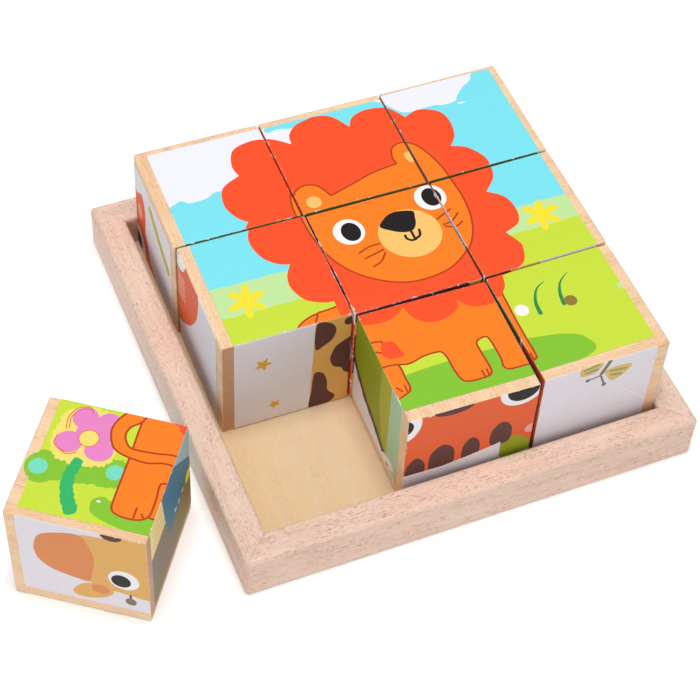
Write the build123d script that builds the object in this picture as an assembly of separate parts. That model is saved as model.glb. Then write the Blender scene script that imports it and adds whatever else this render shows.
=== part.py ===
"""A nine-block picture puzzle in its shallow wooden tray, in millimetres.

Nine wooden cubes fill a square tray three by three. Every face of a cube carries one ninth of a
picture, on a glued paper. Eight cubes stand in the tray and the ninth stands on the table beside
its empty corner. The origin is the middle of the tray's underside, +X to the right, +Y to the
back and +Z up. Each piece is written as its own STEP file in the folder parts.
"""

import os

from build123d import *

# Cubes
block_size = 35.3  # one edge of a finished cube, over its papers
paper = 0.15  # thickness of a glued paper
block_rounding = 0.6  # radius of a cube's edges
bare_margin = 3.0  # wood left bare along the outer edge of a whole picture

# Tray
row_count = 3
tray_clearance = 3.5  # what three cubes in a row leave free between two rails
rail_width = 8.0
rail_height = 14.0
rail_rounding = 1.2
floor_thickness = 4.0
rebate_depth = 4.0  # how far the floor reaches under a rail
floor_play = 0.1  # gap between the floor's edge and a rebate's wall
mitre_line = 0.05  # glue line between two rails at a corner

inner_size = row_count * block_size + tray_clearance
outer_size = inner_size + 2 * rail_width
rebate_size = inner_size + 2 * rebate_depth
wood_size = block_size - 2 * paper

# Where each cube stands: x, y and its turn about Z in degrees, then its column and row in the
# picture on top. A cube has a little play in the tray, so none stands quite straight.
blocks = {
    "back_left": (-34.3, 36.6, -1.1, 0, 2),
    "back_middle": (1.3, 35.95, -0.8, 1, 2),
    "back_right": (36.92, 35.8, -0.2, 2, 2),
    "middle_left": (-34.3, 1.0, -1.0, 0, 1),
    "centre": (1.25, 0.1, -0.5, 1, 1),
    "middle_right": (36.87, 0.05, 0.2, 2, 1),
    "front_middle": (0.8, -35.9, -1.5, 1, 0),
    "front_right": (36.9, -35.6, 0.1, 2, 0),
    "loose": (-91.0, -36.8, -35.5, 0, 0),
}

# Each face's directions on an unturned cube: outwards, to its right and up, seen from outside.
faces = {
    "top": ((0, 0, 1), (1, 0, 0), (0, 1, 0)),
    "front": ((0, -1, 0), (1, 0, 0), (0, 0, 1)),
    "right": ((1, 0, 0), (0, 1, 0), (0, 0, 1)),
    "back": ((0, 1, 0), (-1, 0, 0), (0, 0, 1)),
    "left": ((-1, 0, 0), (0, -1, 0), (0, 0, 1)),
    "bottom": ((0, 0, -1), (1, 0, 0), (0, -1, 0)),
}

# The papers that share a node, because they are hidden in the same way.
label_nodes = {
    "top": ("top",),
    "front": ("front",),
    "left": ("left",),
    "right_back": ("right", "back"),
    "bottom": ("bottom",),
}

# Papers glued a little off their place leave another margin on the side named.
odd_margins = {
    ("back_left", "top", "left"): 3.3,
    ("back_left", "top", "up"): 1.9,
    ("back_middle", "top", "up"): 2.2,
    ("back_right", "top", "up"): 1.2,
    ("back_right", "top", "right"): 2.3,
    ("middle_left", "top", "left"): 3.3,
    ("middle_right", "top", "right"): 2.7,
    ("front_middle", "top", "down"): 3.4,
    ("loose", "top", "down"): 2.4,
    ("loose", "front", "down"): 3.9,
    ("middle_left", "front", "left"): 3.5,
    ("front_right", "front", "right"): 3.5,
    ("front_middle", "left", "right"): 4.0,
    ("middle_left", "left", "right"): 4.0,
    ("back_left", "front", "up"): block_rounding,
    ("back_middle", "front", "up"): block_rounding,
    ("back_right", "front", "up"): block_rounding,
}

# A paper cut round a part of its picture that juts out over the bare margin: the middle of this
# round tab from the middle of the face, and its radius.
round_tabs = {("loose", "top"): (-12.8, -2.8, 4.2)}


def picture_place(name, face, column, row):
    """Which ninth of a picture a face shows, as column, row and whether it is upside down."""
    odd = {
        ("front_middle", "front"): (1, 2, True),
        ("front_middle", "left"): (2, 0, False),
        ("front_middle", "back"): (1, 2, True),
        ("back_middle", "left"): (1, 0, False),
        ("back_right", "back"): (1, 2, False),
    }
    usual = {
        "top": (column, row, False),
        "front": (2 - column, 2 - row, True),
        "left": (2 - column, row, False),
        "right": (column, row, False),
        "back": (column, 2 - row, False),
        "bottom": (2 - column, row, False),
    }
    return odd.get((name, face), usual[face])


def paper_margins(name, face, column, row):
    """Distance from a cube's edges to its paper: (left, right, down, up), seen from outside."""
    picture_column, picture_row, upside_down = picture_place(name, face, column, row)
    bare = {
        "left": picture_column == 0,
        "right": picture_column == 2,
        "down": picture_row == 0,
        "up": picture_row == 2,
    }
    if upside_down:
        bare = {"left": bare["right"], "right": bare["left"], "down": bare["up"], "up": bare["down"]}
    margins = []
    for side, is_bare in bare.items():
        usual = bare_margin if is_bare else block_rounding
        margins.append(odd_margins.get((name, face, side), usual))
    return margins


def make_label(name, face, column, row):
    """The glued paper of one face of an unturned cube whose middle is the origin."""
    outwards, to_right, up = (Vector(*direction) for direction in faces[face])
    left, right, down, above = paper_margins(name, face, column, row)
    width = block_size - left - right
    height = block_size - down - above
    middle = (
        outwards * (wood_size / 2)
        + to_right * ((left - right) / 2)
        + up * ((down - above) / 2)
    )
    plane = Plane(origin=middle, x_dir=to_right, z_dir=outwards)
    label = plane * Box(width, height, paper, align=(Align.CENTER, Align.CENTER, Align.MIN))
    if (name, face) in round_tabs:
        x, y, radius = round_tabs[name, face]
        face_plane = Plane(origin=outwards * (wood_size / 2), x_dir=to_right, z_dir=outwards)
        tab = Cylinder(radius, paper, align=(Align.CENTER, Align.CENTER, Align.MIN))
        label += face_plane * Pos(x, y, 0) * tab
    return label


def make_block_wood():
    """The wooden cube with all its edges rounded."""
    cube = Box(wood_size, wood_size, wood_size)
    return fillet(cube.edges(), block_rounding - paper)


def make_frame_ring():
    """The four rails as one ring, with rounded edges and a rebate for the floor."""
    upright = (Align.CENTER, Align.CENTER, Align.MIN)
    ring = Box(outer_size, outer_size, rail_height, align=upright)
    ring -= Box(inner_size, inner_size, rail_height, align=upright)
    ring = fillet(outer_edges(ring), rail_rounding)
    return ring - Box(rebate_size, rebate_size, floor_thickness, align=upright)


def outer_edges(ring):
    """All edges of the ring's outside, and those around the top of its inside."""
    outside = outer_size / 2 - rail_width / 2
    corner_posts = [e for e in ring.edges().filter_by(Axis.Z) if abs(e.center().X) > outside]
    flat_edges = ring.edges().filter_by(Axis.Z, reverse=True)
    top_edges = [e for e in flat_edges if e.center().Z > rail_height / 2]
    low_edges = [e for e in flat_edges if e.center().Z < rail_height / 2]
    low_outer = [e for e in low_edges if e.length > inner_size + rail_width]
    return corner_posts + top_edges + low_outer


def make_rail(ring, quarter_turns):
    """One mitred rail: the part of the ring in one quarter of the plan."""
    tip = mitre_line / 2**0.5
    far = outer_size
    quarter = Polyline((0, -tip), (-far, -far - tip), (far, -far - tip), close=True)
    wedge = extrude(make_face(quarter), amount=rail_height)
    return ring & wedge.rotate(Axis.Z, 90 * quarter_turns)


def make_floor():
    """The plywood floor, glued into the rails' rebates."""
    side = rebate_size - 2 * floor_play
    return Box(side, side, floor_thickness, align=(Align.CENTER, Align.CENTER, Align.MIN))


def block_location(name):
    """Where the middle of a cube is, and its turn."""
    x, y, turn, _, _ = blocks[name]
    standing_on = 0 if name == "loose" else floor_thickness
    return Location((x, y, standing_on + block_size / 2), (0, 0, turn))


def write_piece(name, shape):
    """Writes one piece as parts/NAME.step."""
    shape.label = name
    export_step(shape, f"parts/{name}.step")


def main():
    os.makedirs("parts", exist_ok=True)
    ring = make_frame_ring()
    for quarter_turns, side in enumerate(("front", "right", "back", "left")):
        write_piece(f"rail_{side}", make_rail(ring, quarter_turns))
    write_piece("tray_floor", make_floor())
    wood = make_block_wood()
    for name, (_, _, _, column, row) in blocks.items():
        place = block_location(name)
        write_piece(f"block_{name}", wood.moved(place))
        for node, node_faces in label_nodes.items():
            labels = [make_label(name, face, column, row).moved(place) for face in node_faces]
            group = labels[0] if len(labels) == 1 else Compound(children=labels)
            write_piece(f"label_{name}_{node}", group)


main()
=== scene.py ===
"""Looks of a nine-block picture puzzle: beech rails, plywood floor, beech cubes and printed papers.

Laid out as an add-on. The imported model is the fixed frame: rails, floor and cubes keep its meshes
and get their materials here, and each thin plate it has for a paper is replaced by a printed sheet
that folds a little way round the cube's rounded edges. Pictures are drawn in cube edges, with
(0, 0) at a picture's lower left corner and (3, 3) at its upper right one.
"""

import math

import bpy
import numpy as np
from bpy.props import FloatProperty, FloatVectorProperty, IntProperty, PointerProperty
from mathutils import Matrix, Vector
from mathutils.geometry import delaunay_2d_cdt


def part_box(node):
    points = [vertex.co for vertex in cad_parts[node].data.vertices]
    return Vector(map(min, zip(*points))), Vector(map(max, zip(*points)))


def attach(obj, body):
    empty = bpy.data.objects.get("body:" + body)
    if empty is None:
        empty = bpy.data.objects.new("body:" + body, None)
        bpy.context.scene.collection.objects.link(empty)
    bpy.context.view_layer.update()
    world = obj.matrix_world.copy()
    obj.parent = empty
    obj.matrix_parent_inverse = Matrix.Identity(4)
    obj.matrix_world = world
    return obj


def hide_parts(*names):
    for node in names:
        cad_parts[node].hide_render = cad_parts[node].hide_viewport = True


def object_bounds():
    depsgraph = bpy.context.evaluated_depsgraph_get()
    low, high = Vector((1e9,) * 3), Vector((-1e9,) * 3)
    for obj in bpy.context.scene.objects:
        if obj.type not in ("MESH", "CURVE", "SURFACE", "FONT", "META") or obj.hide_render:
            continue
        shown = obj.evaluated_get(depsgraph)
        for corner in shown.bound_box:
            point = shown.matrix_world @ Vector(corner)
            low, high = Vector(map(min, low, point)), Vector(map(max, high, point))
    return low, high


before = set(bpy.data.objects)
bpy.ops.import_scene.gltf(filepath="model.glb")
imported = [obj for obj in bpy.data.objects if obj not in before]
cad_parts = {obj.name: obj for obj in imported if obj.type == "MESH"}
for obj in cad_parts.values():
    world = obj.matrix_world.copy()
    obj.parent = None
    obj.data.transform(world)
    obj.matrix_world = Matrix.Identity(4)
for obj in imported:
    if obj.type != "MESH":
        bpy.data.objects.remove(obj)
cad_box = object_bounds()

bl_info = {
    "name": "Picture block puzzle",
    "version": (1, 0, 0),
    "blender": (4, 5, 0),
    "location": "3D View > Sidebar > Puzzle",
    "description": "Finishes a nine-block picture puzzle and its wooden tray",
    "category": "Object",
}

MM = 0.001
RAILS = {"rail_front": 0.0, "rail_right": 90.0, "rail_back": 0.0, "rail_left": 90.0}
BLOCKS = (
    "back_left", "back_middle", "back_right",
    "middle_left", "centre", "middle_right",
    "loose", "front_middle", "front_right",
)
# Cubes whose grain runs from front to back; it runs from left to right in the others.
# With these turns the faces cut across the grain, darkened as end grain with painted shade, include the front
# of the middle left cube in its shaded niche and the shaded right face of the loose cube.
GRAIN_TO_BACK = ("back_left", "middle_left", "front_middle", "centre")
LABEL_NODES = {
    "top": ("top",),
    "front": ("front",),
    "left": ("left",),
    "right_back": ("right", "back"),
    "bottom": ("bottom",),
}
# A round tab of a paper that juts out over the bare wood: its middle and radius, in mm.
ROUND_TABS = {("loose", "top"): (-12.8, -2.8, 4.2)}
# Papers whose print sits a little to the right of its place, in cube edges.
PRINT_SHIFTS = {("back_middle", "top"): 0.018, ("middle_left", "top"): 0.010}
# Turns a distance from a paper's edge, given as a share of its width, into about millimetres.
WEAR_SCALE = 34.0
# Lights, measured from the puzzle's middle in metres: place and edge length of the soft square.
KEY_PLACE = (-0.02, -0.08, 1.60)
KEY_EDGE = 0.60
FILL_PLACE = (-0.60, -0.88, 0.46)
FILL_EDGE = 1.0
# The table top glows a little: painted light that lifts it to white and thins the shadows cast on it.
TABLE_GLOW = 0.14
# Each face's directions on an unturned cube: outwards, to its right and up, seen from outside.
FACES = {
    "top": ((0, 0, 1), (1, 0, 0), (0, 1, 0)),
    "front": ((0, -1, 0), (1, 0, 0), (0, 0, 1)),
    "right": ((1, 0, 0), (0, 1, 0), (0, 0, 1)),
    "back": ((0, 1, 0), (-1, 0, 0), (0, 0, 1)),
    "left": ((-1, 0, 0), (0, -1, 0), (0, 0, 1)),
    "bottom": ((0, 0, -1), (1, 0, 0), (0, -1, 0)),
}


# ---------------------------------------------------------------------------------------------
# What a user would change
# ---------------------------------------------------------------------------------------------

class PuzzleSizes(bpy.types.PropertyGroup):
    """Sizes of what is added to the frame."""

    edge_rounding: FloatProperty(
        name="Cube edge rounding", description="Radius of a cube's edges over its papers",
        default=0.6 * MM, min=0.2 * MM, unit="LENGTH", subtype="DISTANCE")
    paper_wrap: FloatProperty(
        name="Paper wrap", description="How far a paper folds round a cube's edge",
        default=0.45 * MM, min=0.0, unit="LENGTH", subtype="DISTANCE")
    paper_thickness: FloatProperty(
        name="Paper thickness", description="Thickness of a printed paper and its glue",
        default=0.13 * MM, min=0.02 * MM, unit="LENGTH", subtype="DISTANCE")
    corner_cut: FloatProperty(
        name="Paper corner", description="Radius of a paper's corners",
        default=0.5 * MM, min=0.0, unit="LENGTH", subtype="DISTANCE")
    fold_steps: IntProperty(
        name="Fold steps", description="Strips across the folded part of a paper", default=3, min=1)


class PuzzleWoods(bpy.types.PropertyGroup):
    """Colours of the bare woods and of the paper."""

    rail_pale: FloatVectorProperty(
        name="Rail, pale", description="Pale wood of the tray's rails",
        default=(0.84, 0.61, 0.49), subtype="COLOR", min=0, max=1)
    rail_dark: FloatVectorProperty(
        name="Rail, dark", description="Darker bands in the rails",
        default=(0.68, 0.46, 0.36), subtype="COLOR", min=0, max=1)
    cube_pale: FloatVectorProperty(
        name="Cube, pale", description="Pale wood of the cubes",
        default=(0.96, 0.67, 0.42), subtype="COLOR", min=0, max=1)
    cube_dark: FloatVectorProperty(
        name="Cube, dark", description="Darker bands in the cubes",
        default=(0.76, 0.44, 0.24), subtype="COLOR", min=0, max=1)
    # Also the colour that the faces across a cube's grain are darkened towards: darker end grain with painted
    # shade.
    fleck_and_end_shade: FloatVectorProperty(
        name="Fleck", description="Short dark flecks of beech",
        default=(0.46, 0.17, 0.09), subtype="COLOR", min=0, max=1)
    ply_pale: FloatVectorProperty(
        name="Plywood, pale", description="Face veneer of the tray's floor",
        default=(0.76, 0.56, 0.36), subtype="COLOR", min=0, max=1)
    ply_dark: FloatVectorProperty(
        name="Plywood, dark", description="Stains and darker figure of the veneer",
        default=(0.78, 0.54, 0.27), subtype="COLOR", min=0, max=1)
    paper: FloatVectorProperty(
        name="Paper", description="Bare paper where the print is worn off",
        default=(0.88, 0.84, 0.77), subtype="COLOR", min=0, max=1)


# Printing inks, as the eye sees them: red, green, blue.
INKS = {
    "sky": (0.49, 0.89, 0.94),
    "cloud": (0.94, 0.94, 0.99),
    "mist": (0.76, 0.90, 0.62),
    "lime": (0.79, 0.88, 0.24),
    "grass": (0.52, 0.77, 0.19),
    "stem": (0.20, 0.71, 0.40),
    "leaf": (0.18, 0.55, 0.30),
    "turquoise": (0.47, 0.86, 0.74),
    "pink": (0.91, 0.52, 0.77),
    "blush": (0.97, 0.66, 0.60),
    "yellow": (0.96, 0.89, 0.20),
    "cream": (0.95, 0.87, 0.45),
    "mane": (1.00, 0.32, 0.15),
    "orange": (1.00, 0.50, 0.11),
    "sepia": (0.70, 0.25, 0.08),
    "tan": (0.99, 0.77, 0.43),
    "ink": (0.11, 0.09, 0.10),
    "white": (0.97, 0.96, 0.97),
    "umber": (0.58, 0.47, 0.20),
    "snow": (0.91, 0.89, 0.92),
    "straw": (0.90, 0.69, 0.38),
    "apricot": (0.89, 0.55, 0.32),
    "bark": (0.37, 0.22, 0.20),
    "ochre": (0.90, 0.66, 0.20),
    "wing": (0.86, 0.76, 0.42),
    "rust": (0.92, 0.38, 0.19),
    "coral": (0.98, 0.55, 0.45),
    "moss": (0.59, 0.65, 0.11),
    "pear": (0.73, 0.73, 0.22),
    "dun": (0.66, 0.60, 0.46),
    "forest": (0.38, 0.38, 0.12),
    "olive": (0.48, 0.50, 0.22),
    "mint": (0.70, 0.86, 0.70),
    "teal": (0.16, 0.48, 0.60),
    "fog": (0.62, 0.76, 0.80),
    "sand": (0.90, 0.82, 0.62),
    "earth": (0.52, 0.46, 0.36),
    "lilac": (0.80, 0.76, 0.92),
    "brown": (0.62, 0.40, 0.25),
    "honey": (0.98, 0.90, 0.62),
}


class PuzzleInks(bpy.types.PropertyGroup):
    """Colours of the printed pictures, one for each printing ink."""


for ink_name, ink_colour in INKS.items():
    PuzzleInks.__annotations__[ink_name] = FloatVectorProperty(
        name=ink_name.capitalize(), description=f"Printing ink: {ink_name}",
        default=ink_colour, subtype="COLOR_GAMMA", min=0, max=1)


class PuzzleStage(bpy.types.PropertyGroup):
    """Camera, light and floor."""

    azimuth: FloatProperty(
        name="Azimuth", description="Which way round the camera stands; 0 looks along +Y",
        default=math.radians(-25.3), unit="ROTATION", subtype="ANGLE")
    elevation: FloatProperty(
        name="Elevation", description="How steeply the camera looks down",
        default=math.radians(51.7), unit="ROTATION", subtype="ANGLE")
    roll: FloatProperty(
        name="Roll", description="How far the camera is tipped about its own axis",
        default=math.radians(3.9), unit="ROTATION", subtype="ANGLE")
    distance: FloatProperty(
        name="Distance", description="From the camera to the point it looks at",
        default=0.513, unit="LENGTH", subtype="DISTANCE")
    focal_length: FloatProperty(
        name="Focal length", description="Focal length of the lens, in millimetres",
        default=100.5, min=10)
    key_power: FloatProperty(name="Key light", description="Power of the key light", default=18.2,
                             unit="POWER")
    fill_power: FloatProperty(name="Fill light", description="Power of the fill light", default=1.7,
                              unit="POWER")
    sky_strength: FloatProperty(
        name="Sky light", description="Strength of the even light all round", default=0.34)
    floor_colour: FloatVectorProperty(
        name="Table", description="Colour of the table the puzzle stands on",
        default=(0.98, 0.98, 0.98), subtype="COLOR", min=0, max=1)


# ---------------------------------------------------------------------------------------------
# Drawing the pictures
# ---------------------------------------------------------------------------------------------

def oval(x, y, half_width, half_height=None, turn=0.0, steps=40):
    """Closed outline of a circle or an ellipse, turned anticlockwise by turn degrees."""
    half_height = half_height or half_width
    across = math.cos(math.radians(turn))
    along = math.sin(math.radians(turn))
    outline = []
    for step in range(steps):
        angle = 2 * math.pi * step / steps
        u = half_width * math.cos(angle)
        v = half_height * math.sin(angle)
        outline.append((x + u * across - v * along, y + u * along + v * across))
    return outline


def curve_point(before, start, end, after, t):
    """A point of the smooth curve through start and end, at t from 0 to 1."""
    return tuple(
        0.5 * (2 * b + (c - a) * t + (2 * a - 5 * b + 4 * c - d) * t**2 + (3 * b - a - 3 * c + d) * t**3)
        for a, b, c, d in zip(before, start, end, after)
    )


def loop(*points, steps=8):
    """Smooth closed outline through the points."""
    count = len(points)
    outline = []
    for i in range(count):
        corners = [points[(i + k) % count] for k in (-1, 0, 1, 2)]
        outline += [curve_point(*corners, step / steps) for step in range(steps)]
    return outline


def line(*points, steps=8):
    """Smooth open line through the points."""
    padded = [points[0], *points, points[-1]]
    drawn = []
    for i in range(len(points) - 1):
        drawn += [curve_point(*padded[i:i + 4], step / steps) for step in range(steps)]
    return drawn + [points[-1]]


def stroke(drawn, width, end_width=None, cap_steps=6):
    """Closed outline of a pen stroke along an open line, with round ends."""
    end_width = width if end_width is None else end_width
    left, right, caps = [], [], {}
    last = len(drawn) - 1
    for i, (x, y) in enumerate(drawn):
        ahead, behind = drawn[min(i + 1, last)], drawn[max(i - 1, 0)]
        along = math.atan2(ahead[1] - behind[1], ahead[0] - behind[0])
        half = (width + (end_width - width) * i / last) / 2
        left.append((x - half * math.sin(along), y + half * math.cos(along)))
        right.append((x + half * math.sin(along), y - half * math.cos(along)))
        if i in (0, last):
            first = along + (math.pi / 2 if i == last else -math.pi / 2)
            angles = [first - math.pi * k / cap_steps for k in range(1, cap_steps)]
            caps[i] = [(x + half * math.cos(a), y + half * math.sin(a)) for a in angles]
    return left + caps[last] + right[::-1] + caps[0]


def grown(outline, amount):
    """The outline moved outwards by amount, or inwards where it is negative."""
    points = np.array(outline)
    ahead = np.roll(points, -1, axis=0) - np.roll(points, 1, axis=0)
    normals = np.stack([ahead[:, 1], -ahead[:, 0]], axis=1)
    lengths = np.maximum(np.linalg.norm(normals, axis=1, keepdims=True), 1e-9)
    x, y = points[:, 0], points[:, 1]
    area = np.sum(x * np.roll(y, -1) - y * np.roll(x, -1))
    return [tuple(p) for p in points + np.sign(area) * amount * normals / lengths]


def outlined(shapes, fill, pen="sepia", width=0.015):
    """Shapes that run into each other, with one pen line round them all."""
    return (
        [(grown(shape, width / 2), pen) for shape in shapes]
        + [(grown(shape, -width / 2), fill) for shape in shapes]
    )


def scalloped(*bulges):
    """Closed outline of smooth bulges that meet in notches. Each bulge starts at its notch."""
    outline = []
    for bulge, following in zip(bulges, bulges[1:] + bulges[:1]):
        outline += line(*bulge, following[0])[:-1]
    return outline


def roughened(outline, amount=0.006, seed=1):
    """The outline with a dry brush's uneven edge."""
    count = len(outline)
    moved = []
    for i, (x, y) in enumerate(outline):
        wave = math.sin(2.1 * i + seed) + 0.7 * math.sin(5.3 * i + 2 * seed)
        before, after = outline[i - 1], outline[(i + 1) % count]
        run, rise = after[0] - before[0], after[1] - before[1]
        length = math.hypot(run, rise) or 1.0
        moved.append((x + amount * wave * rise / length, y - amount * wave * run / length))
    return moved


def petals(x, y, *tips):
    """Oval petals round one heart, each out to its own tip."""
    drawn = [(oval(x, y, 0.030), "yellow")]
    for u, v in tips:
        turn = math.degrees(math.atan2(v - y, u - x))
        length = math.hypot(u - x, v - y)
        drawn.append((oval(x + 0.56 * (u - x), y + 0.56 * (v - y), 0.46 * length, 0.032, turn), "yellow"))
    return drawn


def ninth(column, row, turned, *points):
    """Points measured from the upper left corner of one ninth, seen upright or turned half round."""
    if turned:
        return [(column + 1 - x, row + y) for x, y in points]
    return [(column + x, row + 1 - y) for x, y in points]


def strokes(pen, width, *lines):
    """Pen strokes of one width, each through its own points."""
    return [(stroke(line(*points), width), pen) for points in lines]


def brushed(x0, y0, x1, y1, roughness=0.004, seed=1):
    """A band from x0 to x1 and y0 to y1 whose long edges look brushed."""
    xs = np.linspace(x0, x1, 49)
    wave = [roughness * (math.sin(31 * x + seed) + 0.6 * math.sin(73 * x + 2.1 * seed)) for x in xs]
    low = [(x, y0 - w) for x, w in zip(xs, wave)]
    high = [(x, y1 + w) for x, w in zip(xs, wave)]
    return low + high[::-1]


def flower(x, y, radius, petals, petal_ink, heart_ink, turn=0.0, heart=0.28):
    """A flower of oval petals round a heart."""
    drawn = []
    for k in range(petals):
        angle = turn + 360 * k / petals
        px = x + 0.58 * radius * math.cos(math.radians(angle))
        py = y + 0.58 * radius * math.sin(math.radians(angle))
        drawn.append((oval(px, py, 0.46 * radius, 0.30 * radius * 6 / petals**0.9 * 0.62, angle), petal_ink))
    return drawn + [(oval(x, y, heart * radius), heart_ink)]


def star(x, y, radius, turn=90.0):
    """A five-pointed star."""
    outline = []
    for k in range(10):
        reach = radius * (1.0 if k % 2 == 0 else 0.45)
        angle = math.radians(turn + 36 * k)
        outline.append((x + reach * math.cos(angle), y + reach * math.sin(angle)))
    return outline


def eye(x, y, radius, pupil=0.62, ring="white", look=(0.0, 0.0)):
    """A round white eye with a dark pupil."""
    px, py = x + look[0] * radius, y + look[1] * radius
    return [
        (oval(x, y, radius, radius * 1.04), ring),
        (oval(px, py, pupil * radius, pupil * radius * 1.18), "ink"),
    ]


def whole(ink):
    """The whole picture in one ink."""
    return [([(-0.1, -0.1), (3.1, -0.1), (3.1, 3.1), (-0.1, 3.1)], ink)]


def lion():
    """A lion on a green field under a blue sky."""
    drawn = whole("sky")
    drawn += [
        (loop((-0.1, 2.385), (0.09, 2.385), (0.19, 2.42), (0.25, 2.38), (0.385, 2.385), (0.46, 2.42),
              (0.6, 2.43),
              (0.9, 2.55), (1.22, 2.70), (1.23, 2.846), (1.19, 2.87), (1.096, 2.894), (1.0, 2.894),
              (0.96, 3.1), (-0.1, 3.1)), "cloud"),
        (loop((1.90, 3.1), (1.923, 2.942), (1.97, 2.904), (2.02, 2.846), (2.067, 2.779), (2.135, 2.731),
              (2.29, 2.731), (2.365, 2.731), (2.44, 2.712), (2.54, 2.721), (2.577, 2.769), (2.66, 2.846),
              (2.73, 2.885), (2.77, 2.942), (2.82, 3.1)), "cloud"),
        (oval(2.577, 2.687, 0.035, 0.008), "cloud"),
        (brushed(-0.1, 1.15, 1.5, 1.535, seed=3), "mist"),
        (brushed(1.5, 1.15, 3.1, 1.545, seed=4), "mist"),
        (brushed(-0.1, -0.2, 1.5, 1.25, seed=5), "lime"),
        (brushed(1.5, -0.2, 3.1, 1.308, seed=8), "lime"),
        (loop((0.548, 0.21), (0.56, 0.26), (0.62, 0.29), (0.69, 0.27), (0.92, 0.35), (1.15, 0.385),
              (1.46, 0.404),
              (2.0, 0.404), (2.06, 0.385), (2.31, 0.337), (2.45, 0.25), (2.40, 0.10), (1.6, 0.03),
              (0.9, 0.06), (0.60, 0.13)), "grass"),
        (oval(0.595, 0.245, 0.014, 0.009), "white"),
    ]
    drawn += petals(0.313, 1.365, (0.342, 1.504), (0.452, 1.40), (0.41, 1.246), (0.283, 1.202),
                    (0.169, 1.308), (0.208, 1.467))
    drawn += petals(2.66, 1.417, (2.692, 1.554), (2.804, 1.456), (2.765, 1.308), (2.629, 1.263),
                    (2.519, 1.365), (2.558, 1.52))
    drawn += loose_corner()
    drawn += outlined([loop((0.90, 0.5), (1.10, 0.50), (1.12, 0.35), (1.12, 0.27), (1.077, 0.23),
                            (0.94, 0.22))],
                      "orange")
    drawn += outlined([loop(
        (0.90, 1.10), (0.81, 1.09), (0.74, 1.08), (0.708, 1.01), (0.685, 0.94), (0.688, 0.62), (0.687, 0.31),
        (0.696, 0.21), (0.75, 0.173), (0.846, 0.163), (0.923, 0.183), (0.956, 0.23), (0.96, 0.35),
        (0.952, 0.47),
        (0.98, 0.494), (1.08, 0.496), (1.19, 0.471), (1.31, 0.50), (1.40, 0.505), (1.45, 0.49), (1.467, 0.42),
        (1.471, 0.31), (1.49, 0.22), (1.54, 0.19), (1.635, 0.187), (1.70, 0.20), (1.72, 0.25), (1.712, 0.42),
        (1.715, 0.49), (1.75, 0.517), (1.80, 0.52), (1.817, 0.47), (1.823, 0.31), (1.812, 0.235),
        (1.846, 0.20),
        (1.94, 0.196), (2.02, 0.20), (2.042, 0.24), (2.042, 0.40), (2.045, 0.60), (2.054, 0.81), (2.05, 1.1),
        (1.5, 1.2))], "orange")
    drawn += outlined([loop(
        (0.74, 1.08), (0.615, 1.04), (0.54, 0.96), (0.504, 0.865), (0.51, 0.79), (0.558, 0.692),
        (0.654, 0.644),
        (0.81, 0.625), (0.92, 0.65), (1.0, 0.644), (1.05, 0.625), (1.077, 0.715), (0.96, 0.73),
        (0.846, 0.715),
        (0.692, 0.712), (0.635, 0.75), (0.606, 0.817), (0.625, 0.885), (0.683, 0.942), (0.708, 1.01))],
        "orange")
    drawn += [(loop((1.048, 0.635), (1.077, 0.70), (1.154, 0.692), (1.173, 0.635), (1.188, 0.554),
                    (1.096, 0.548), (1.048, 0.587)), "mane")]
    drawn += strokes("sepia", 0.014, ((0.856, 0.26), (0.856, 0.175)), ((0.90, 0.22), (0.925, 0.19)),
                     ((1.03, 0.30), (1.058, 0.26)), ((1.09, 0.30), (1.09, 0.25)),
                     ((1.654, 0.25), (1.654, 0.20)),
                     ((1.688, 0.25), (1.688, 0.20)), ((2.01, 0.26), (2.01, 0.21)))
    drawn += [(scalloped(
        ((1.15, 2.71), (1.17, 2.81), (1.25, 2.89), (1.35, 2.92), (1.42, 2.93), (1.54, 2.89)),
        ((1.64, 2.74), (1.70, 2.83), (1.83, 2.87), (2.0, 2.83)),
        ((2.10, 2.69), (2.23, 2.73), (2.37, 2.66), (2.41, 2.54), (2.385, 2.385)),
        ((2.31, 2.285), (2.42, 2.23), (2.5, 2.115), (2.515, 2.02), (2.48, 1.885)),
        ((2.37, 1.77), (2.48, 1.67), (2.505, 1.52), (2.46, 1.40)),
        ((2.33, 1.345), (2.385, 1.23), (2.39, 1.17), (2.35, 1.06), (2.29, 1.01), (2.19, 0.99)),
        ((2.13, 0.98), (2.105, 0.885)),
        ((2.04, 0.81), (1.92, 0.785), (1.80, 0.82)),
        ((1.735, 0.90), (1.69, 0.81), (1.52, 0.76), (1.385, 0.83)),
        ((1.34, 0.958), (1.25, 0.90), (1.135, 0.875), (1.0, 0.905)),
        ((0.93, 0.98), (0.90, 1.0)),
        ((0.90, 1.15), (0.83, 1.16), (0.71, 1.23), (0.65, 1.365), (0.663, 1.48)),
        ((0.72, 1.58), (0.635, 1.615), (0.548, 1.71), (0.51, 1.865), (0.54, 1.98)),
        ((0.60, 2.06), (0.53, 2.135), (0.485, 2.27), (0.53, 2.44)),
        ((0.687, 2.525), (0.669, 2.635), (0.73, 2.79), (0.894, 2.84), (1.02, 2.81)),
    ), "mane")]
    drawn += outlined([scalloped(
        ((1.245, 2.11), (1.44, 2.17), (1.64, 2.23)),
        ((1.835, 2.255), (1.83, 2.33), (1.865, 2.42), (1.95, 2.45), (2.04, 2.405), (2.106, 2.29),
         (2.154, 2.115),
         (2.173, 1.92), (2.179, 1.77), (2.154, 1.58), (2.096, 1.42), (2.0, 1.29), (1.846, 1.183),
         (1.673, 1.14),
         (1.5, 1.144), (1.346, 1.2), (1.19, 1.31), (1.077, 1.45), (1.01, 1.6), (0.971, 1.75), (0.956, 1.9),
         (0.956, 2.0), (0.962, 2.115), (1.0, 2.23), (1.096, 2.273), (1.19, 2.23)),
    )], "orange")
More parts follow.
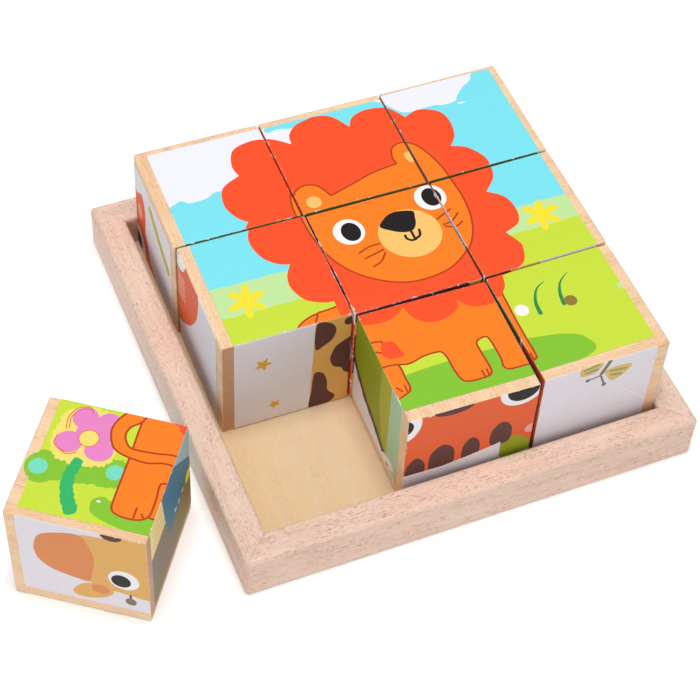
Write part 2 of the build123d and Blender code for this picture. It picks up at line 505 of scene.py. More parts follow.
    drawn += [
        (oval(1.10, 2.09, 0.058), "tan"),
        (loop((1.925, 2.33), (1.98, 2.345), (2.005, 2.31), (1.99, 2.25), (1.955, 2.23), (1.93, 2.26)), "tan"),
        (oval(1.669, 1.583, 0.24, 0.235), "tan"),
        (oval(1.246, 1.744, 0.119, 0.125), "white"),
        (oval(1.26, 1.74, 0.073, 0.092), "ink"),
        (oval(1.948, 1.862, 0.119, 0.125), "white"),
        (oval(1.958, 1.865, 0.071, 0.092), "ink"),
        (loop((1.48, 1.715), (1.54, 1.78), (1.60, 1.81), (1.67, 1.813), (1.77, 1.78), (1.765, 1.72),
              (1.74, 1.645), (1.69, 1.60), (1.615, 1.61), (1.54, 1.655)), "ink"),
    ]
    drawn += strokes("ink", 0.020, ((1.683, 1.60), (1.683, 1.52)),
                     ((1.625, 1.573), (1.625, 1.54), (1.655, 1.513), (1.69, 1.515)),
                     ((1.69, 1.52), (1.73, 1.54), (1.745, 1.592)))
    drawn += strokes("sepia", 0.015, ((1.24, 1.525), (1.33, 1.558), (1.42, 1.562)),
                     ((1.263, 1.462), (1.423, 1.5)),
                     ((1.292, 1.369), (1.365, 1.40), (1.423, 1.467)), ((1.908, 1.64), (2.038, 1.702)),
                     ((1.938, 1.577), (2.0, 1.587), (2.077, 1.648)),
                     ((1.942, 1.558), (2.01, 1.529), (2.073, 1.558)))
    drawn += [
        (oval(2.121, 0.635, 0.052), "white"),
        (stroke(line((2.237, 0.567), (2.25, 0.673), (2.308, 0.779), (2.394, 0.827)), 0.036, 0.004), "leaf"),
        (stroke(line((2.438, 0.587), (2.452, 0.683), (2.50, 0.779), (2.587, 0.846)), 0.036, 0.004), "leaf"),
        (oval(2.496, 0.596, 0.048), "umber"),
        (oval(2.904, 0.596, 0.030), "mist"),
    ]
    return drawn


def loose_corner():
    """The bush and the pink flower in the lion's lower left corner."""
    drawn = [
        (oval(0.137, 0.42, 0.128, 0.135), "grass"),
        (roughened(loop((0.10, 0.34), (0.30, 0.34), (0.50, 0.36), (0.66, 0.37), (0.72, 0.45), (0.70, 0.57),
                        (0.62, 0.60), (0.54, 0.56), (0.40, 0.52), (0.24, 0.55), (0.12, 0.53))), "grass"),
        (roughened(loop((0.125, 0.69), (0.144, 0.865), (0.19, 0.93), (0.31, 0.98), (0.44, 0.96), (0.58, 0.90),
                        (0.587, 0.635), (0.558, 0.54), (0.46, 0.50), (0.31, 0.49), (0.19, 0.52),
                        (0.135, 0.615)), 0.008, 3), "cream"),
        (oval(0.30, 0.88, 0.09), "pink"),
        (oval(0.47, 0.87, 0.09), "pink"),
        (oval(0.25, 0.66, 0.095, 0.09), "pink"),
        (oval(0.47, 0.64, 0.10, 0.09), "pink"),
        (oval(0.37, 0.76, 0.10), "pink"),
        (oval(0.45, 0.76, 0.08, 0.10), "pink"),
        (oval(0.375, 0.72, 0.072), "rust"),
        (oval(0.375, 0.72, 0.066), "cream"),
    ]
    drawn += strokes("rust", 0.007, ((0.20, 0.76), (0.185, 0.86), (0.23, 0.95), (0.31, 0.97), (0.34, 0.93)),
                     ((0.22, 0.77), (0.205, 0.86), (0.25, 0.94), (0.32, 0.955)),
                     ((0.16, 0.70), (0.155, 0.63), (0.20, 0.59), (0.26, 0.575)),
                     ((0.20, 0.59), (0.26, 0.56), (0.33, 0.59)))
    drawn += [
        (roughened(stroke(line((0.36, 0.51), (0.34, 0.38), (0.37, 0.25), (0.43, 0.14)), 0.08, 0.10), 0.004),
         "stem"),
        (oval(0.115, 0.415, 0.065), "turquoise"),
        (oval(0.63, 0.495, 0.062), "turquoise"),
    ]
    return drawn


def giraffe():
    """A giraffe that looks to the right, with stars and a butterfly."""
    drawn = whole("snow")
    # Along the picture's bottom edge run a green band and a dark olive one. On the cubes they run along the
    # top of the back row's front faces, which show only in the gap between the rows.
    drawn += [(brushed(-0.1, -0.2, 3.1, 0.34, 0.012, 2), "grass"),
              (brushed(-0.1, -0.2, 3.1, 0.20, 0.012, 4), "forest")]
    drawn += [(star(*place), "ochre") for place in (
        (2.68, 1.31, 0.076, 100), (2.59, 1.82, 0.058, 80), (1.15, 2.62, 0.06, 85), (0.75, 1.25, 0.06, 100),
        (0.30, 1.62, 0.045, 90))]
    drawn += [
        (loop((0.55, 1.10), (0.60, 1.28), (0.95, 1.30), (1.40, 1.25), (2.08, 1.16), (2.20, 1.04),
              (2.20, 0.75), (1.80, 0.62), (1.10, 0.64), (0.62, 0.74)), "straw"),
        ([(1.40, 1.0), (2.285, 1.0), (2.315, 2.0), (2.30, 2.02), (1.36, 2.02)], "straw"),
        (ninth(2, 2, True, *line((0.72, -0.02), (0.70, 0.04), (0.53, 0.075), (0.60, 0.22), (0.62, 0.35),
                                 (0.60, 0.50),
                                 (0.57, 0.63), (0.72, 0.68), (0.85, 0.70), (1.0, 0.72), (1.3, 0.70),
                                 (1.55, 0.5), (1.64, 0.2), (1.64, -0.02))), "straw"),
    ]
    drawn += [(stroke([(x, 0.80), (x - 0.01, 0.20)], 0.20, 0.15), "straw") for x in (0.72, 1.02, 1.78, 2.12)]
    drawn += [(stroke([(x - 0.008, 0.22), (x - 0.01, 0.17)], 0.155), "bark") for x in (0.72, 1.02, 1.78,
        2.12)]
    spots = (
        ((0.72, 0.03), (0.80, 0.02), (0.86, 0.08), (0.875, 0.15), (0.85, 0.23), (0.79, 0.28), (0.72, 0.30)),
        ((1.06, 0.27), (0.90, 0.31), (0.85, 0.40), (0.84, 0.48), (0.87, 0.56), (0.93, 0.60), (0.96, 0.66),
         (1.06, 0.68)),
        ((0.72, 0.59), (0.78, 0.60), (0.81, 0.66), (0.825, 0.74), (0.83, 0.83), (0.88, 0.90), (0.885, 0.95),
         (0.83, 0.99), (0.69, 1.0), (0.70, 0.8)),
    )
    drawn += [(loop(*ninth(2, 1, True, *spot)), "bark") for spot in spots]
    drawn += [(oval(*ninth(2, 1, True, (0.98, 0.07))[0], 0.045), "bark"),
              (oval(*ninth(2, 2, True, (0.755, 0.0))[0], 0.075, 0.06), "bark"),
              ([(1.40, 0.96), (2.0, 0.96), (2.0, 1.06), (1.40, 1.06)], "bark")]
    drawn += [(loop(*[(x + r * dx, y + r * dy) for dx, dy in (
        (1.0, 0.1), (0.55, 0.9), (-0.35, 1.0), (-1.0, 0.35), (-0.85, -0.7), (0.05, -0.8), (0.75, -1.0))]),
        "bark")
        for x, y, r in ((1.62, 1.74, 0.13), (1.60, 1.36, 0.12), (1.25, 1.02, 0.14), (0.90, 1.08, 0.12),
                        (1.62, 0.88, 0.11), (2.02, 0.82, 0.11), (1.02, 0.80, 0.09), (0.72, 0.88, 0.08))]
    drawn += [
        (loop(*ninth(2, 2, True, (0.53, 0.075), (0.35, 0.11), (0.24, 0.18), (0.20, 0.30), (0.195, 0.38),
                     (0.22, 0.48),
                     (0.29, 0.56), (0.38, 0.60), (0.48, 0.625), (0.57, 0.63), (0.60, 0.50), (0.62, 0.35),
                     (0.60, 0.22))), "apricot"),
        (loop(*ninth(2, 2, True, (0.445, 0.79), (0.50, 0.70), (0.58, 0.65), (0.70, 0.66), (0.74, 0.68),
                     (0.73, 0.74), (0.66, 0.81), (0.55, 0.85), (0.47, 0.845))), "straw"),
        (oval(2.355, 2.705, 0.065, 0.055), "apricot"),
        (oval(1.70, 2.70, 0.13, 0.07, 150), "straw"),
        (oval(1.70, 2.70, 0.06, 0.035, 150), "apricot"),
    ]
    drawn += strokes("bark", 0.016, ((2.14, 2.70), (2.14, 2.77)), ((1.95, 2.66), (1.93, 2.77)))
    drawn += [(oval(2.14, 2.785, 0.04, 0.045), "earth"), (oval(1.93, 2.80, 0.04, 0.045), "earth")]
    drawn += [(oval(2.18, 2.525, 0.11, 0.115), "white"), (oval(2.20, 2.54, 0.07, 0.075), "ink")]
    drawn += [
        (loop(*ninth(0, 2, True, (0.30, -0.02), (0.285, 0.06), (0.31, 0.10), (0.40, 0.10), (0.45, 0.05),
                     (0.46, -0.02))), "wing"),
        (loop(*ninth(0, 2, True, (0.49, 0.12), (0.55, 0.09), (0.70, 0.11), (0.69, 0.17), (0.60, 0.25),
                     (0.55, 0.24), (0.51, 0.17))), "wing"),
        (stroke(ninth(0, 2, True, (0.53, -0.02), (0.465, 0.13)), 0.034), "earth"),
    ]
    drawn += strokes("dun", 0.024, *[ninth(0, 2, True, *pair) for pair in (
        ((0.32, 0.03), (0.43, 0.01)), ((0.33, 0.07), (0.42, 0.06)), ((0.54, 0.13), (0.66, 0.15)),
        ((0.55, 0.18), (0.63, 0.20)))])
    drawn += strokes("earth", 0.016, *[ninth(0, 2, True, *pair) for pair in (
        ((0.46, 0.15), (0.36, 0.165)), ((0.465, 0.16), (0.505, 0.27)))])
    drawn += [(oval(*point, 0.019), "earth") for point in ninth(0, 2, True, (0.36, 0.165), (0.505, 0.27))]
    drawn += strokes("white", 0.006, ninth(0, 2, True, (0.68, 0.40), (0.88, 0.60)))
    return drawn


def tiger():
    """The big round face of a tiger, and its front paws."""
    drawn = whole("snow")
    drawn += [(brushed(-0.1, -0.2, 3.1, 0.36, seed=6), "lilac")]
    drawn += [
        (stroke(line(*ninth(2, 2, False, (0.42, 0.22), (0.55, 0.30), (0.68, 0.38), (0.82, 0.45))), 0.10),
         "pear"),
        (ninth(0, 0, False, (0.0, -0.1), (0.6, -0.1), (0.6, 0.3), (0.0, 0.3)), "olive"),
        (stroke(line((0.20, 2.62), (0.40, 2.74), (0.62, 2.70)), 0.05, 0.07), "lime"),
        (ninth(0, 0, False, (0.6, -0.1), (1.0, -0.1), (1.0, 0.8), (0.8, 0.8)), "rust"),
        (loop((0.86, 1.20), (1.96, 1.20), (1.96, 0.80), (1.94, 0.34), (1.80, 0.26), (1.20, 0.26),
              (0.84, 0.34), (0.80, 0.80)), "rust"),
        (oval(1.48, 0.60, 0.32, 0.34), "white"),
    ]
    drawn += [(oval(x, 0.30, 0.22, 0.14), "rust") for x in (1.08, 1.76)]
    drawn += strokes("bark", 0.020, ((1.00, 0.20), (1.00, 0.30)), ((1.13, 0.20), (1.13, 0.30)),
                     ((1.70, 0.20), (1.70, 0.30)), ((1.83, 0.20), (1.83, 0.30)))
    drawn += [
        (loop((0.72, 2.38), (0.80, 2.66), (0.93, 2.76), (1.10, 2.58), (1.22, 2.40)), "rust"),
        (loop((0.84, 2.46), (0.90, 2.62), (0.98, 2.60), (1.02, 2.50)), "blush"),
        (loop((1.04, 2.57), (1.25, 2.575), (1.32, 2.59), (1.50, 2.63), (1.70, 2.665), (2.0, 2.665),
              (2.06, 2.64),
              (2.13, 2.70), (2.20, 2.74), (2.255, 2.65), (2.26, 2.50), (2.24, 2.35), (2.29, 2.25),
              (2.34, 2.10),
              (2.49, 2.0), (2.49, 1.85), (2.46, 1.72), (2.40, 1.60), (2.30, 1.45), (2.18, 1.33), (2.05, 1.24),
              (1.85, 1.18), (1.55, 1.15), (1.20, 1.20), (0.84, 1.42), (0.66, 1.85), (0.76, 2.28)), "rust"),
        (loop(*ninth(1, 2, True, (0.75, 0.58), (0.88, 0.545), (0.95, 0.61), (1.0, 0.66), (1.0, 0.75),
                     (0.76, 0.76))), "moss"),
        (oval(2.12, 2.48, 0.05, 0.08), "blush"),
        (oval(1.02, 2.50, 0.05), "blush"),
    ]
    for left, right, low, high in ((0.02, 0.16, 0.475, 0.70), (0.20, 0.38, 0.40, 0.68),
                                   (0.45, 0.58, 0.41, 0.66), (0.665, 0.82, 0.325, 0.58)):
        middle = (left + right) / 2
        drawn.append((loop(*ninth(1, 2, True, (middle, low), (right, low + 0.09), (right - 0.01, high),
                                  (left + 0.01, high), (left, low + 0.09))), "bark"))
    drawn.append((ninth(1, 2, True, (-0.1, 0.665), (0.3, 0.665), (0.5, 0.63), (0.68, 0.59), (0.75, 0.57),
                        (0.76, 0.9), (-0.1, 0.9)), "snow"))
    drawn += [(oval(x, y, 0.13, 0.042, t), "bark") for x, y, t in (
        (0.78, 1.82, 8), (0.82, 1.60, 18), (0.92, 1.42, 30))]
    drawn += [(oval(1.42, 1.50, 0.28, 0.22), "white"), (oval(1.74, 1.50, 0.24, 0.22), "white")]
    drawn += [(loop((1.44, 1.76), (1.58, 1.79), (1.72, 1.76), (1.66, 1.66), (1.58, 1.62), (1.50, 1.66)),
               "bark")]
    drawn += strokes("bark", 0.022, ((1.58, 1.64), (1.58, 1.52)),
                     ((1.40, 1.50), (1.48, 1.44), (1.58, 1.52), (1.68, 1.44), (1.76, 1.50)))
    drawn += [(oval(1.04, 1.62, 0.10, 0.075), "coral")]
    drawn += strokes("blush", 0.030, *[((2.0, 1.56 + 0.055 * k), (2.17, 1.58 + 0.055 * k)) for k in range(5)])
    drawn += [
        (oval(1.14, 2.0, 0.17), "white"),
        (oval(1.13, 2.0, 0.125), "ink"),
        (oval(2.05, 2.05, 0.155, 0.20), "white"),
        (oval(2.04, 2.08, 0.085, 0.09), "ink"),
        (oval(1.655, 2.0, 0.15, 0.06), "bark"),
    ]
    return drawn


def crocodile():
    """A green crocodile that looks to the left, on a river bank."""
    drawn = whole("cloud")
    drawn += [
        (brushed(-0.1, 1.9, 3.1, 3.1, seed=9), "sky"),
        (oval(0.62, 2.66, 0.42, 0.14), "cloud"),
        (oval(2.2, 2.42, 0.50, 0.13), "cloud"),
        (oval(2.62, 2.76, 0.17), "yellow"),
        (brushed(-0.1, 1.55, 3.1, 1.95, seed=12), "mint"),
        (brushed(-0.1, -0.2, 2.0, 0.16, seed=7), "turquoise"),
        ([(2.69, 0.10), (2.69, 1.75), (3.1, 1.75), (3.1, 0.10)], "mint"),
    ]
    drawn += [(oval(0.95 + 0.155 * k, 1.78 - 0.006 * (k - 5) ** 2, 0.10), "bark") for k in range(11)]
    edge = ((0.0, 0.47), (0.13, 0.58), (0.25, 0.66), (0.35, 0.70), (0.5, 0.76), (0.65, 0.84))
    drawn += [
        (loop((0.78, 1.10), (0.86, 1.62), (1.30, 1.80), (1.90, 1.80), (2.44, 1.60), (2.66, 1.20),
              (2.62, 0.98), (1.98, 0.62), (1.70, 0.72), (1.10, 0.78)), "moss"),
        (ninth(2, 0, False, (-0.02, -0.1), (0.69, -0.1), (0.69, 0.84), (0.65, 0.84), *edge[-2::-1],
               (-0.02, 0.47)),
         "moss"),
        (ninth(2, 0, False, (0.50, -0.1), (0.69, -0.1), (0.69, 0.82), (0.58, 0.72), (0.50, 0.40)), "pear"),
    ]
    drawn += [(oval(*point, 0.055, 0.04, -30), "bark") for point in ninth(2, 0, False, *edge)]
    drawn += [(stroke(ninth(2, 0, False, *edge), 0.06), "bark")]
    drawn += [
        (loop((0.10, 0.98), (0.14, 1.16), (0.40, 1.26), (0.90, 1.34), (1.20, 1.30), (1.24, 0.90),
              (0.90, 0.76), (0.34, 0.80)), "moss"),
        (loop((0.16, 0.96), (0.60, 0.98), (1.10, 0.94), (1.16, 0.84), (0.80, 0.74), (0.32, 0.80)), "lime"),
        (oval(1.02, 1.46, 0.19), "moss"),
        (oval(0.24, 1.20, 0.07, 0.05, 10), "moss"),
        (oval(0.22, 1.21, 0.018), "leaf"),
        (stroke(line((1.15, 0.80), (1.12, 0.46), (1.20, 0.28)), 0.24, 0.20), "moss"),
        (stroke(line((1.82, 0.80), (1.80, 0.46), (1.74, 0.28)), 0.24, 0.20), "moss"),
    ]
    drawn += [([(0.26 + 0.13 * k, 0.985), (0.36 + 0.13 * k, 0.985), (0.31 + 0.13 * k, 0.89)], "white")
              for k in range(6)]
    drawn += [(oval(x, y, 0.045, 0.035), "olive") for x, y in (
        (1.40, 1.50), (1.62, 1.28), (1.92, 1.46), (2.20, 1.20), (1.80, 1.02), (1.44, 1.06))]
    drawn += strokes("olive", 0.018, ((0.16, 0.97), (0.60, 0.99), (1.10, 0.96), (1.17, 1.02)))
    drawn += eye(1.00, 1.50, 0.115, 0.55, look=(-0.15, 0.0))
    drawn += [(oval(2.725, 0.16, 0.115, 0.05, 20), "white"), (oval(2.72, 0.12, 0.030, 0.018, 20), "apricot")]
    drawn += [(stroke([(x, 0.10), (x + 0.03, 0.36)], 0.05, 0.008), "leaf") for x in (0.30, 0.38, 1.52, 1.60)]
    return drawn


def elephant():
    """A blue elephant beside a path."""
    drawn = whole("honey")
    drawn += [
        (brushed(-0.1, 1.7, 3.1, 3.1, seed=11), "cloud"),
        (oval(2.45, 2.58, 0.19), "ochre"),
        (brushed(-0.1, 0.9, 3.1, 1.75, seed=14), "mint"),
        (brushed(-0.1, -0.2, 3.1, 0.92, seed=10), "sand"),
        (brushed(-0.1, -0.2, 3.1, 0.44, seed=15), "earth"),
    ]
    drawn += [
        (loop((1.90, 0.10), (2.10, 0.20), (2.60, 0.16), (2.90, 0.22), (2.80, 0.02), (2.10, -0.02)), "mint"),
    ]
    drawn += [(stroke(line((0.52, 1.70), (0.36, 1.50), (0.34, 1.22)), 0.05, 0.03), "teal"),
              (oval(0.34, 1.16, 0.04, 0.07), "ink")]
    drawn += [(stroke([(x, 1.1), (x, 0.46)], 0.30, 0.28), "fog") for x in (1.14, 1.96)]
    drawn += [
        (loop((0.42, 1.20), (0.46, 1.80), (0.80, 2.12), (1.40, 2.20), (1.95, 2.10), (2.20, 1.70),
              (2.18, 1.10), (1.90, 0.86), (1.20, 0.82), (0.62, 0.88)), "teal"),
        (stroke([(1.62, 1.2), (1.62, 0.42)], 0.40, 0.34), "teal"),
    ]
    drawn += [(oval(x, 0.30, 0.040, 0.032), "white") for x in (1.52, 1.62, 1.72)]
    drawn += elephant_corner()
    drawn += [
        (stroke(line((2.42, 1.80), (2.60, 1.40), (2.62, 1.00), (2.74, 0.80), (2.84, 0.90)), 0.30, 0.10),
         "teal"),
        (oval(2.18, 1.94, 0.44, 0.42), "teal"),
        (loop((1.62, 2.26), (1.50, 1.90), (1.56, 1.52), (1.78, 1.42), (2.00, 1.60), (2.06, 1.96),
              (1.94, 2.30)),
         "fog"),
        (loop((1.70, 2.14), (1.64, 1.88), (1.68, 1.64), (1.80, 1.58), (1.92, 1.72), (1.94, 1.98),
              (1.86, 2.18)),
         "blush"),
        (stroke(line((2.40, 1.56), (2.50, 1.42), (2.72, 1.42)), 0.09, 0.02), "white"),
        (oval(2.22, 1.68, 0.07, 0.05), "pink"),
    ]
    drawn += strokes("cloud", 0.012, ((2.53, 1.32), (2.66, 1.36)), ((2.50, 1.16), (2.68, 1.18)),
                     ((2.54, 1.02), (2.72, 1.06)))
    drawn += eye(2.34, 1.96, 0.095, 0.62)
    drawn += flower(0.98, 2.62, 0.14, 5, "pink", "yellow", 10)
    drawn += flower(1.36, 2.50, 0.10, 5, "coral", "yellow", 50)
    drawn += [(stroke([(x, 0.12), (x + 0.02, 0.34)], 0.045, 0.008), "grass") for x in (1.22, 1.30, 2.34,
        2.42)]
    return drawn


def elephant_corner():
    """The path, the striped mat and the hind foot in the elephant's lower left corner."""
    drawn = [
        (ninth(0, 0, False, (-0.1, 0.34), (1.0, 0.34), (1.0, 1.1), (-0.1, 1.1)), "earth"),
        (ninth(0, 0, False, (0.6, 0.45), (1.0, 0.40), (1.0, 1.1), (0.7, 1.1)), "umber"),
        (ninth(0, 0, False, (-0.1, -0.02), (0.38, -0.02), (0.38, 0.34), (-0.1, 0.34)), "honey"),
        (loop(*ninth(0, 0, False, (0.52, 0.78), (0.66, 0.74), (0.80, 0.76), (0.82, 0.84), (0.66, 0.86))),
         "olive"),
        (oval(0.25, 0.15, 0.09, 0.05), "olive"),
    ]
    drawn += strokes("straw", 0.018, *[ninth(0, 0, False, (0.14, 0.05 + 0.07 * k), (0.38, 0.04 + 0.07 * k))
                                       for k in range(5)])
    drawn += [
        (ninth(0, 0, False, (0.35, -0.02), (0.40, 0.30), (0.48, 0.57), (0.68, 0.57), (0.9, 0.45), (1.0, 0.35),
               (1.0, -0.02)), "teal"),
        (ninth(0, 0, False, (0.62, -0.02), (1.0, 0.35), (1.0, -0.02)), "fog"),
        (oval(0.93, 0.50, 0.06), "yellow"),
    ]
    drawn += [(oval(x, 1 - y, 0.022, 0.013), "white") for x, y in ((0.63, 0.50), (0.71, 0.51), (0.80, 0.50))]
    return drawn


def bear():
    """A brown bear with a pot of honey."""
    drawn = whole("honey")
    drawn += [
        (oval(0.55, 2.50, 0.20), "yellow"),
        (oval(2.40, 2.55, 0.38, 0.12), "white"),
        (brushed(-0.1, -0.2, 3.1, 0.80, seed=13), "mist"),
        (brushed(-0.1, -0.2, 3.1, 0.34, seed=16), "grass"),
    ]
    drawn += [(stroke([(0.35, 0.70), (0.33, 1.30)], 0.14), "brown"), (oval(0.34, 1.62, 0.26, 0.40), "stem")]
    drawn += [(stroke([(2.72, 0.70), (2.70, 1.20)], 0.12), "brown"), (oval(2.71, 1.50, 0.22, 0.36), "leaf")]
    parts = [
        oval(1.50, 0.92, 0.58, 0.62),
        oval(1.12, 0.36, 0.24, 0.16),
        oval(1.88, 0.36, 0.24, 0.16),
        oval(0.98, 2.42, 0.19),
        oval(2.02, 2.42, 0.19),
        oval(1.50, 1.95, 0.72, 0.62),
    ]
    drawn += outlined(parts, "brown", "bark", 0.020)
    drawn += [
        (oval(0.98, 2.42, 0.10), "blush"),
        (oval(2.02, 2.42, 0.10), "blush"),
        (oval(1.50, 0.86, 0.36, 0.40), "tan"),
        (oval(1.50, 1.72, 0.30, 0.23), "tan"),
        (oval(1.50, 1.83, 0.10, 0.07), "ink"),
        (oval(1.02, 1.76, 0.11, 0.08), "coral"),
        (oval(1.98, 1.76, 0.11, 0.08), "coral"),
        (oval(1.12, 0.35, 0.12, 0.08), "tan"),
        (oval(1.88, 0.35, 0.12, 0.08), "tan"),
        (loop((1.30, 0.98), (1.28, 0.66), (1.40, 0.52), (1.60, 0.52), (1.72, 0.66), (1.70, 0.98)), "ochre"),
        (loop((1.26, 1.06), (1.26, 0.94), (1.74, 0.94), (1.74, 1.06)), "cream"),
    ]
    drawn += strokes("ink", 0.020, ((1.50, 1.78), (1.50, 1.68)),
                     ((1.38, 1.68), (1.44, 1.63), (1.50, 1.68), (1.56, 1.63), (1.62, 1.68)))
    drawn += outlined([stroke(line((1.02, 1.16), (1.10, 0.92), (1.30, 0.84)), 0.20),
                       stroke(line((1.98, 1.16), (1.90, 0.92), (1.70, 0.84)), 0.20)], "brown", "bark", 0.018)
    drawn += eye(1.26, 2.04, 0.10) + eye(1.74, 2.04, 0.10)
    drawn += flower(2.40, 0.52, 0.13, 6, "white", "yellow", 15)
    drawn += flower(0.62, 0.50, 0.11, 6, "coral", "yellow", 40)
    drawn += [(oval(2.30, 1.30 + 0.5 * k, 0.05, 0.035, 20), "ochre") for k in range(2)]
    return drawn


PICTURES = {
    "lion": lion, "giraffe": giraffe, "tiger": tiger,
    "crocodile": crocodile, "elephant": elephant, "bear": bear,
}


def picture_on(name, face):
    """Which ninth of which picture a face shows: picture, column, row, upside down."""
    row, column = divmod(BLOCKS.index(name), 3)
    row = 2 - row
    odd = {
        ("front_middle", "front"): ("tiger", 1, 2, True),
        ("front_middle", "left"): ("crocodile", 2, 0, False),
        ("front_middle", "back"): ("giraffe", 1, 2, True),
        ("back_middle", "left"): ("tiger", 1, 0, False),
        ("back_right", "back"): ("crocodile", 1, 2, False),
    }
    usual = {
        "top": ("lion", column, row, False),
        "front": ("giraffe", 2 - column, 2 - row, True),
        "left": ("tiger", 2 - column, row, False),
        "right": ("elephant", column, row, False),
        "back": ("crocodile", column, 2 - row, False),
        "bottom": ("bear", 2 - column, row, False),
    }
    return odd.get((name, face), usual[face])


# ---------------------------------------------------------------------------------------------
# Printed sheets
# ---------------------------------------------------------------------------------------------

def unique_points(node):
    """The CAD node's vertices without repeats, in metres."""
    return np.unique(np.round([tuple(v.co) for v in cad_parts[node].data.vertices], 7), axis=0)


def block_axes(name):
    """Middle of a cube and its right, back and up directions, read from the frame."""
    low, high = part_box(f"block_{name}")
    points = unique_points(f"label_{name}_front")[:, :2]
    middle = points.mean(axis=0)
    right_half = points[points[:, 0] > middle[0]].mean(axis=0)
    left_half = points[points[:, 0] < middle[0]].mean(axis=0)
    right = Vector((*(right_half - left_half), 0)).normalized()
    up = Vector((0, 0, 1))
    return (low + high) / 2, right, up.cross(right), up


def block_half(name):
    """Half the edge of a finished cube: from its middle to the outside of its top paper."""
    middle = block_axes(name)[0]
    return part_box(f"label_{name}_top")[1].z - middle.z


def face_axes(name, face):
    """A face's outward, right and up directions, and the cube's middle."""
    middle, right, back, up = block_axes(name)
    turned = [right * x + back * y + up * z for x, y, z in FACES[face]]
    return (*turned, middle)


def paper_sides(name, face, node, sizes):
    """Where a paper ends left, right, down and up of its face's middle, folds included."""
    outwards, to_right, up, middle = face_axes(name, face)
    half = block_half(name)
    offsets = [Vector(p) - middle for p in unique_points(node)]
    offsets = [p for p in offsets if p.dot(outwards) > half - 0.3 * MM]
    highest = max(p.dot(up) for p in offsets)
    across = [p.dot(to_right) for p in offsets if p.dot(up) > highest - 0.05 * MM]
    along = [p.dot(up) for p in offsets if p.dot(to_right) > max(across) - 0.05 * MM]
    flat = half - sizes.edge_rounding
    sides = []
    for side in (min(across), max(across), min(along), max(along)):
        at_edge = abs(side) > flat - 0.1 * MM and abs(side) < flat + 0.1 * MM
        sides.append(side + math.copysign(sizes.paper_wrap, side) if at_edge else side)
    return sides


def rounded_rectangle(left, right, down, up, radius, steps=4):
    """Outline of a rectangle with rounded corners, anticlockwise."""
    outline = []
    corners = ((right, up, 0), (left, up, 90), (left, down, 180), (right, down, 270))
    for x, y, start in corners:
        cx = x - math.copysign(radius, x - (left + right) / 2)
        cy = y - math.copysign(radius, y - (down + up) / 2)
        for step in range(steps + 1):
            angle = math.radians(start + 90 * step / steps)
            outline.append((cx + radius * math.cos(angle), cy + radius * math.sin(angle)))
    return outline


def inside(points, outline):
    """Which of the points lie inside a closed outline, by its winding number."""
    x, y = points[:, 0:1], points[:, 1:2]
    start = np.array(outline)
    end = np.roll(start, -1, axis=0)
    side = (end[:, 0] - start[:, 0]) * (y - start[:, 1]) - (x - start[:, 0]) * (end[:, 1] - start[:, 1])
    upward = (start[:, 1] <= y) & (end[:, 1] > y) & (side > 0)
    downward = (start[:, 1] > y) & (end[:, 1] <= y) & (side < 0)
    return (upward.sum(axis=1) - downward.sum(axis=1)) != 0


def meets(outline, left, right, down, up):
    """Whether an outline's own box reaches into a rectangle."""
    xs = [p[0] for p in outline]
    ys = [p[1] for p in outline]
    return min(xs) < right and max(xs) > left and min(ys) < up and max(ys) > down


def cut_sheet(outlines, shapes, folds):
    """Cuts a flat sheet, made of overlapping outlines, along the shapes' outlines and the fold lines."""
    points, edges = [], []
    for shape in [*outlines, *shapes]:
        first = len(points)
        points += [Vector(p) for p in shape]
        edges += [(first + i, first + (i + 1) % len(shape)) for i in range(len(shape))]
    for fold in folds:
        first = len(points)
        points += [Vector(p) for p in fold]
        edges.append((first, first + 1))
    made = delaunay_2d_cdt(points, edges, [], 0, 1e-7, False)
    flat_points = np.array([tuple(p) for p in made[0]])
    triangles = np.array([tuple(t) for t in made[2]])
    centres = flat_points[triangles].mean(axis=1)
    kept = np.any([inside(centres, outline) for outline in outlines], axis=0)
    return flat_points, triangles[kept]


def fold_lines(left, right, down, up, flat, steps):
    """Lines where the sheet bends: at the end of the flat of the face, and across each fold."""
    lines_at = []
    for step in range(steps):
        for sign in (-1, 1):
            lines_at.append(("x", sign, step))
            lines_at.append(("y", sign, step))
    drawn = []
    for axis, sign, step in lines_at:
        low, high = (left, right) if axis == "x" else (down, up)
        end = high if sign > 0 else -low
        if end <= flat:
            continue
        at = sign * (flat + (end - flat) * step / steps)
        drawn.append(((at, down), (at, up)) if axis == "x" else ((left, at), (right, at)))
    return drawn


def folded(u, v, flat, rounding):
    """Where a point of the flat sheet comes on the cube: across, along and how far down."""
    over_u, over_v = max(abs(u) - flat, 0.0), max(abs(v) - flat, 0.0)
    over = math.hypot(over_u, over_v)
    if over == 0:
        return u, v, 0.0
    angle = over / rounding
    reach = rounding * math.sin(angle) / over
    drop = rounding * (1 - math.cos(angle))
    return (
        math.copysign(min(abs(u), flat) + over_u * reach, u),
        math.copysign(min(abs(v), flat) + over_v * reach, v),
        drop,
    )


